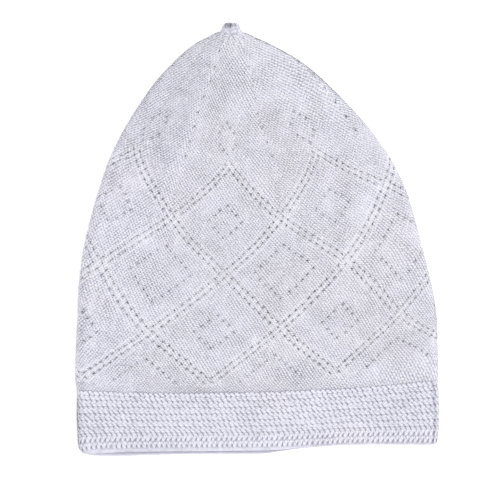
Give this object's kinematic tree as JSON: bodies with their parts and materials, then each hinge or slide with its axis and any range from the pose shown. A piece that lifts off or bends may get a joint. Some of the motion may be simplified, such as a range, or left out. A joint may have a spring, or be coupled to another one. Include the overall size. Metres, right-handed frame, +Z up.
{
  "type": "knitted kufi cap",
  "caption": "White cotton kufi knitted in the round, with an openwork diamond lattice, a ribbed band and a drawn-up peak, lying flat.",
  "frame": {"origin": "middle of the cap's outline at the surface that it lies on, under the lower layer", "axes": "+X to the right as seen from above with the peak away from the viewer, +Y from the mouth to the peak, +Z up from the surface"},
  "size_m": [0.2001, 0.238, 0.0113],
  "materials": {
    "crown_knit": "matte",
    "band_knit": "matte",
    "knot_yarn": "matte"
  },
  "bodies": {
    "root": {"crown": "crown_knit", "band": "band_knit", "peak_knot": "knot_yarn"}
  },
  "joints": []
}
